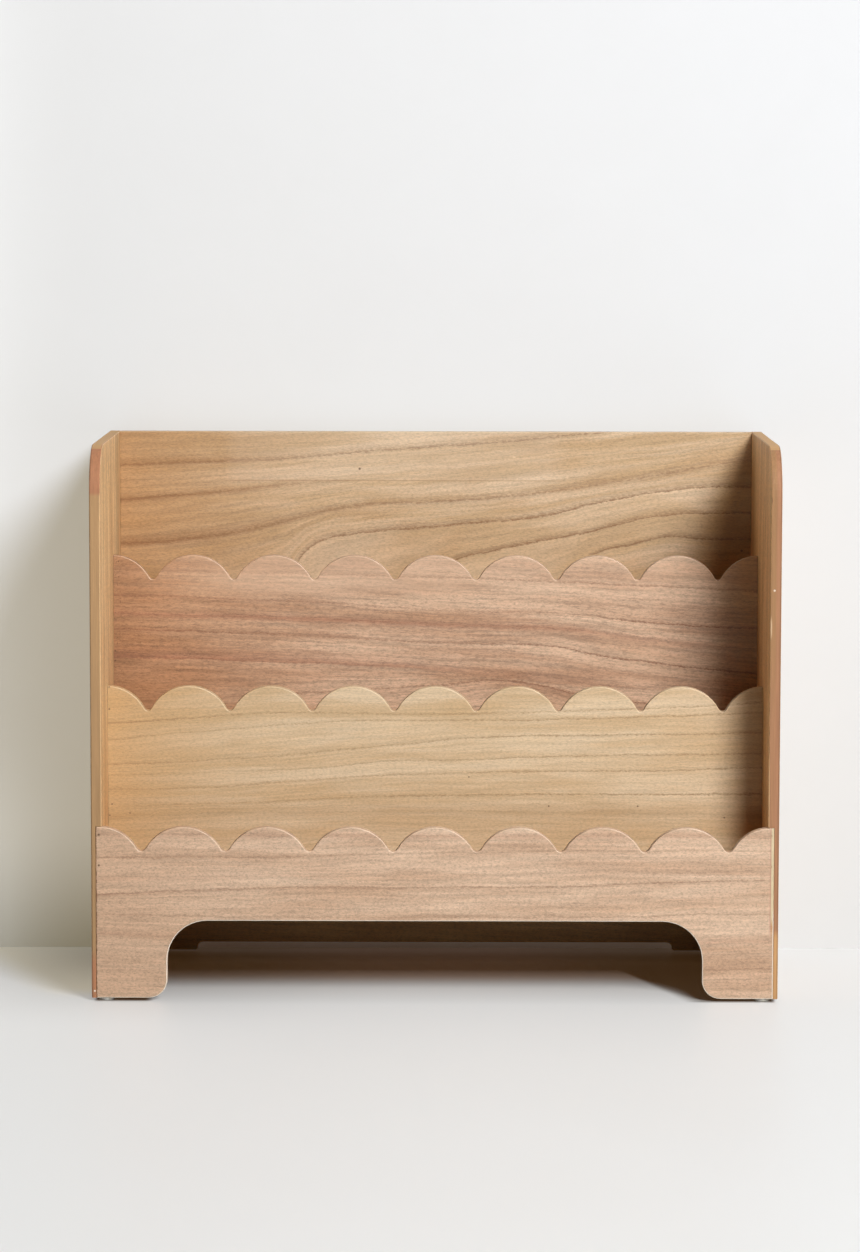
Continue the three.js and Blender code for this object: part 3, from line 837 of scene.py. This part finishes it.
def eased_arrises(shader, colour, board, normal, facing):
    """Painted shade on cut edges that look to the left, away from the lamp, paler arrises that look
    down, and a painted highlight on arrises that look to the right.
    """
    leftwards = shader.math("MULTIPLY", normal[0], -1.0)
    downwards = shader.math("MULTIPLY", normal[2], -1.0)
    cut = shader.fall(facing, 0.3, 0.6)
    # painted shade on cut edges that face left, away from the lamp
    left_edge_shade = shader.times(cut, shader.between(leftwards, 0.2, 0.8, 0.0, 0.45))
    arris = shader.times(shader.between(facing, 0.3, 0.5), shader.fall(facing, 0.93, 0.98))
    # painted highlight on arrises that face the lamp on the right; those that face the floor are pale
    # wood
    right_highlight = shader.between(normal[0], -0.3, 0.3, 0.03, 0.5)
    to_floor = shader.between(downwards, 0.0, 0.35, 0.0, 0.9)
    paler = shader.times(arris, shader.math("MAXIMUM", right_highlight, to_floor))
    colour = shader.darken(colour, shader.math("SUBTRACT", 1.0, left_edge_shade))
    return shader.mix(paler, colour, board.arris)


def board_looks(shader, colour, board, point, normal, roughness):
    """Adds what one board has and the others don't. Returns the colour and the roughness."""
    facing = shader.absolute(in_board(normal, board.grain)[2])
    if board.name == "side_wood":
        colour, face = side_panel_looks(shader, colour, point, normal)
        dull_edges = shader.scaled(face, -0.3, 0.7)
        return colour, shader.math("MAXIMUM", roughness, dull_edges)
    colour = eased_arrises(shader, colour, board, normal, facing)
    if board.name == "front_wood":
        colour = front_panel_looks(shader, colour, point, facing)
    if board.name == "back_wood":
        colour = back_panel_looks(shader, colour, point)
    if board.name == "upper_wood":
        colour = upper_panel_looks(shader, colour, point)
    # painted shade where the right ends of the bins lie in the side panel's shadow
    if board.name in ("back_wood", "upper_wood", "middle_wood"):
        colour = corner_shade(shader, colour, point)
    return colour, roughness


def make_wood(board):
    """A board's wood: listed ring lines, fibres, pores, soft bands and paler eased arrises."""
    shader = new_material(board.name)
    point = place_in_frame(shader)
    place = in_board(point, board.grain)
    along, _, through = place
    field, shades = grain_field(shader, along, grain_place(shader, place, board), board)
    if board.name == "back_wood":
        softer_on_left = shader.between(point[0], *CLEAR_CORE_X, 0.4, 1.0)
        shades["core"] = shader.times(shades["core"], softer_on_left)

    grained = (along, field, through)
    fibre = shader.stretched_noise(grained, (0.018, 0.6, 0.3), 3.0, 0.65)
    fleck = shader.stretched_noise(place, (board.speck, 0.8, 0.7), 2.0, 0.75)
    pore = shader.stretched_noise(place, (0.3, 0.85, 0.8), 1.0)
    colour = wood_base(shader, point, board, grained, shades, fibre, fleck)
    colour, dots = wood_rings(shader, colour, board, shades, pore, fleck)

    normal = shader.split(shader.node("ShaderNodeNewGeometry").outputs["True Normal"])
    roughness = shader.scaled(fleck, 0.2, 0.36)
    colour, roughness = board_looks(shader, colour, board, point, normal, roughness)
    colour = add_marks(shader, colour, point, normal, board.marks)
    relief = shader.total(
        shader.times(fibre, FIBRE_RELIEF),
        shader.times(fleck, FLECK_RELIEF),
        shader.times(dots, PORE_RELIEF),
    )
    return shader.finish(
        shader.surface(colour, roughness, relief, bump=0.25, depth=0.0003, Specular_IOR_Level=0.45)
    )


def make_dowel_wood():
    shader = new_material("dowel_wood")
    grain = shader.stretched_noise(place_in_frame(shader), (0.06, 0.9, 0.9), 4.0, 0.6)
    colour = shader.mix(grain, *DOWEL_TONES)
    roughness = shader.scaled(grain, 0.2, 0.55)
    return shader.finish(shader.surface(colour, roughness, grain, bump=0.3))


def make_brad_steel():
    """Dull heads, toned down on the left and filled over with putty on the right."""
    shader = new_material("brad_steel")
    point = place_in_frame(shader)
    spots = shader.stretched_noise(point, (2.5, 2.5, 2.5), 3.0, 0.6)
    steel = shader.mix(spots, *STEEL_TONES)
    putty = shader.mix(spots, *PUTTY_TONES)
    colour = shader.mix(shader.between(point[0], -1.0, 1.0), steel, putty)
    roughness = shader.scaled(spots, 0.3, 0.4)
    return shader.finish(shader.surface(colour, roughness, spots, bump=0.15, Metallic=0.1))


def make_pad_rubber():
    shader = new_material("pad_rubber")
    cloud = shader.stretched_noise(place_in_frame(shader), (0.7, 0.7, 0.7), 3.0, 0.5)
    colour = shader.mix(cloud, *PAD_TONES)
    roughness = shader.scaled(cloud, 0.25, 0.3)
    surface = shader.surface(
        colour, roughness, cloud, bump=0.1, Subsurface_Weight=0.3, Subsurface_Scale=0.003,
        Subsurface_Radius=(1.0, 0.9, 0.7),
    )
    return shader.finish(surface)


def rays_to_lift(shader):
    """1 for what the camera, a reflection or a clear material shows, and 0 for other light."""
    path = shader.node("ShaderNodeLightPath").outputs
    seen = shader.math("MAXIMUM", path["Is Camera Ray"], path["Is Glossy Ray"])
    return shader.math("MAXIMUM", seen, path["Is Transmission Ray"])


def lifted(shader, paint, colour):
    """The paint with its lift added, for the rays that may see it."""
    lift = shader.node("ShaderNodeEmission", {"Color": colour, "Strength": rays_to_lift(shader)})
    return shader.node("ShaderNodeAddShader", {0: paint, 1: lift.outputs[0]}).outputs[0]


def before_wall(shader, y):
    """1 on the floor in front of the wall, and 0 on the floor behind it."""
    return shader.fall(y, *BEHIND_WALL_Y)


def shade_below_holder(shader, x, y, width):
    """Where shade is painted: 1 on the floor below the holder, under its front feet and in the right
    foot's shadow.
    """
    depth = shader.scaled(y, 1 / BELOW_DEPTH, -BELOW_START_Y / BELOW_DEPTH, clamp=True)
    inside = shader.times(shader.fall(width, *HOLDER_W), depth, before_wall(shader, y))
    behind_front = shader.between(y, *FRONT_FACE_Y)
    feet = shader.math("MAXIMUM", shader.fall(x, *LEFT_FOOT_X), shader.between(x, *RIGHT_FOOT_X))
    feet = shader.times(feet, shader.fall(width, *FEET_ENDS_W))
    shadow = shader.between(leaning(shader, x, y, FOOT_SHADOW_LEAN), *FOOT_SHADOW_X)
    shadow = shader.times(shadow, shader.fall(x, *FOOT_SHADOW_END_X))
    front = shader.times(behind_front, shader.math("MAXIMUM", feet, shadow), before_wall(shader, y))
    return shader.math("MAXIMUM", inside, front)


def left_shadow(shader, x, y):
    """1 in the shadow on the floor to the left of the holder."""
    return shader.times(
        shader.between(leaning(shader, x, y, LEFT_SHADOW_LEAN), *LEFT_SHADOW_X),
        shader.fall(x, *LEFT_SHADOW_END_X),
        shader.between(y, *LEFT_SHADOW_Y),
        before_wall(shader, y),
    )


def floor_colour(shader, point, cloud, warm):
    """The floor's paint: painted shade under the holder's rear, and a painted warm tint in the
    shadow.
    """
    x, y, _ = point
    # painted shade on the floor under the holder's rear, up to the wall
    rear = shader.times(
        shader.between(y, *REAR_FLOOR_Y),
        before_wall(shader, y),
        shader.between(shader.absolute(x), *REAR_FLOOR_W, 0.85, 0.0),
    )
    dimmed = shader.times(shader.scaled(cloud, 0.05, 0.975), shader.math("SUBTRACT", 1.0, rear))
    colour = shader.darken(FLOOR_PAINT, dimmed)
    return shader.mix(warm, colour, shader.tinted(colour, SHADE_TINT))


def floor_lift(shader, point, warm):
    """The floor's lift: pale in the open, with painted shade on the left, a painted warm fringe to
    the shadow, and a faint brown painted shade below the holder.
    """
    x, y, _ = point
    width = shader.absolute(x)
    shade = shader.times(
        shader.between(y, *DIM_LEFT_Y),
        shader.between(x, *DIM_LEFT_X, 0.2, 0.75),
        shader.fall(x, *DIM_LEFT_END_X),
        before_wall(shader, y),
    )
    nearer = shader.scaled(y, FLOOR_LIFT_PER_MM, FLOOR_LIFT_MIDDLE, clamp=True)
    lift = shader.darken(FLOOR_LIFT, shader.times(nearer, shader.math("SUBTRACT", 1.0, shade)))
    lift = shader.mix(warm, lift, shader.tinted(lift, SHADE_TINT))
    shadow_fringe = shader.times(
        shader.between(y, *FRINGE_Y), shader.fall(width, *HOLDER_W), before_wall(shader, y)
    )
    lift = shader.mix(shadow_fringe, lift, shader.tinted(lift, SHADOW_FRINGE_TINT))
    under = shader.mix(shader.between(width, *UNDER_SIDES_W), UNDER_SHADE_LIFT, UNDER_SHADE_LIFT_SIDES)
    return shader.mix(shade_below_holder(shader, x, y, width), lift, under)


def with_far_floor(shader, near, x, y):
    """Far from the holder the floor shows one plain pale tone."""
    away = shader.distance(shader.times(x, FAR_SQUEEZE), y)
    far = shader.times(shader.between(away, *FAR_FLOOR_DISTANCE), rays_to_lift(shader))
    plain_floor = shader.node("ShaderNodeEmission", {"Color": FAR_FLOOR}).outputs[0]
    return shader.mix_shaders(far, near, plain_floor)


def make_floor_paint():
    """Pale satin floor, plain in the distance."""
    shader = new_material("floor_paint")
    point = place_in_frame(shader)
    x, y, _ = point
    cloud = shader.stretched_noise(point, (0.003, 0.003, 0.003), 5.0, 0.6)
    warm = left_shadow(shader, x, y)
    colour = floor_colour(shader, point, cloud, warm)
    roughness = shader.scaled(cloud, 0.12, 0.4)
    paint = shader.surface(colour, roughness, cloud, bump=0.05, depth=0.001, Specular_IOR_Level=0.3)
    near = lifted(shader, paint, floor_lift(shader, point, warm))
    return shader.finish(with_far_floor(shader, near, x, y))


def wall_lift(shader, x, z):
    """The wall's lift: painted shade at the lower left, painted light beside the shadow, and painted
    shade behind the arch.
    """
    low = shader.times(shader.fall(z, *LOW_WALL_Z), shader.fall(x, *LOW_WALL_X))
    lift = shader.mix(low, WALL_LIFT, WALL_SHADE_LIFT_LOW)
    outwards = shader.scaled(x, -1 / GLOW_REACH, GLOW_START_X / GLOW_REACH, clamp=True)
    side_light = shader.times(
        shader.math("POWER", outwards, 2.0),
        shader.between(x, *GLOW_END_X),
        shader.between(z, *GLOW_Z, 0.9, 0.4),
    )
    lift = shader.mix(1.0, lift, shader.darken(SIDE_PAINTED_LIGHT, side_light), "ADD")
    width = shader.absolute(x)
    behind_arch_shade = shader.times(shader.fall(z, *HIDDEN_WALL_Z), shader.fall(width, *HIDDEN_WALL_W))
    return shader.mix(behind_arch_shade, lift, BEHIND_ARCH_SHADE_LIFT)


def make_wall_paint():
    """Pale paint, seen from its front alone, so that the back of the object stays in view."""
    shader = new_material("wall_paint")
    x, y, z = place_in_frame(shader)
    place = shader.join(*(shader.times(value, 0.01) for value in (x, y, z)))
    strokes = shader.noise(place, 7.0, 0.62, 0.6)
    colour = shader.darken(WALL_PAINT, shader.scaled(strokes, 0.05, 0.975))
    paint = shader.surface(colour, 0.85, strokes, bump=0.12, depth=0.002, Specular_IOR_Level=0.1)
    front = lifted(shader, paint, wall_lift(shader, x, z))
    clear = shader.node("ShaderNodeBsdfTransparent").outputs[0]
    behind = shader.node("ShaderNodeNewGeometry").outputs["Backfacing"]
    return shader.finish(shader.mix_shaders(behind, front, clear))


def make_materials():
    made = {board.name: make_wood(board) for board in BOARDS}
    made["dowel_wood"] = make_dowel_wood()
    made["brad_steel"] = make_brad_steel()
    made["pad_rubber"] = make_pad_rubber()
    return made


def dress_nodes(frame, materials):
    """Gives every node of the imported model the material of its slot."""
    for part in frame["record"]["subparts"]:
        piece = frame["nodes"][part["node"]]
        for slot in piece.material_slots:
            slot.material = materials[part["material_slot"]]


def make_plane(name, corners, material):
    mesh = bpy.data.meshes.new(name)
    mesh.from_pydata(corners, [], [(0, 1, 2, 3)])
    mesh.materials.append(material)
    plane = bpy.data.objects.new(name, mesh)
    bpy.context.scene.collection.objects.link(plane)
    return plane


def make_stage():
    """A floor, and a wall that casts no shadow and sends no light on the object."""
    left, right, top = -STAGE_REACH, STAGE_REACH, WALL_HEIGHT
    floor = [(left, left, 0), (right, left, 0), (right, right, 0), (left, right, 0)]
    make_plane("floor", floor, make_floor_paint())
    wall = [(left, WALL_Y, 0), (right, WALL_Y, 0), (right, WALL_Y, top), (left, WALL_Y, top)]
    wall = make_plane("wall", wall, make_wall_paint())
    wall.visible_shadow = False
    wall.visible_diffuse = False


def make_lamp():
    """One large round lamp, to the right of the camera and above it."""
    lamp = bpy.data.lights.new("key", "AREA")
    lamp.shape = "DISK"
    lamp.size = KEY_SIZE
    lamp.energy = KEY_POWER
    piece = bpy.data.objects.new("key", lamp)
    heading = Vector(KEY_DIRECTION).normalized()
    piece.location = Vector(KEY_AIM) + heading * KEY_DISTANCE
    piece.rotation_euler = heading.to_track_quat("Z", "Y").to_euler()
    bpy.context.scene.collection.objects.link(piece)


def make_sky():
    """Soft light that comes from behind the holder, and a pale backdrop."""
    shader = Shader(bpy.data.worlds.new("sky"))
    direction = shader.split(shader.node("ShaderNodeTexCoord").outputs["Generated"])
    strength = shader.between(direction[1], -0.1, 0.5, SKY_FRONT, SKY_REAR)
    light = shader.node("ShaderNodeBackground", {"Color": WHITE, "Strength": strength}).outputs[0]
    backdrop = shader.node("ShaderNodeBackground", {"Color": BACKDROP}).outputs[0]
    both = shader.mix_shaders(rays_to_lift(shader), light, backdrop)
    shader.node("ShaderNodeOutputWorld", {"Surface": both})
    bpy.context.scene.world = shader.owner


def make_camera():
    """The camera that was fitted to the photograph."""
    pitch, yaw, roll = (math.radians(angle) for angle in (CAMERA_PITCH, CAMERA_YAW, CAMERA_ROLL))
    flat = math.cos(pitch)
    ahead = Vector((math.sin(yaw) * flat, math.cos(yaw) * flat, -math.sin(pitch)))
    level = Vector((math.cos(yaw), -math.sin(yaw), 0.0))
    upward = level.cross(ahead)
    right = level * math.cos(roll) + upward * math.sin(roll)
    up = upward * math.cos(roll) - level * math.sin(roll)
    data = bpy.data.cameras.new("camera")
    data.sensor_fit = "AUTO"
    data.sensor_width = SENSOR_WIDTH
    data.lens = CAMERA_LENS
    data.clip_end = CLIP_END
    camera = bpy.data.objects.new("camera", data)
    turn = Matrix((right, up, -ahead)).transposed()
    camera.matrix_world = Matrix.Translation(CAMERA_PLACE) @ turn.to_4x4()
    bpy.context.scene.collection.objects.link(camera)
    bpy.context.scene.camera = camera


def main():
    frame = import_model()
    bpy.context.scene.view_settings.view_transform = "Standard"
    make_camera()
    make_stage()
    make_sky()
    make_lamp()
    dress_nodes(frame, make_materials())


main()
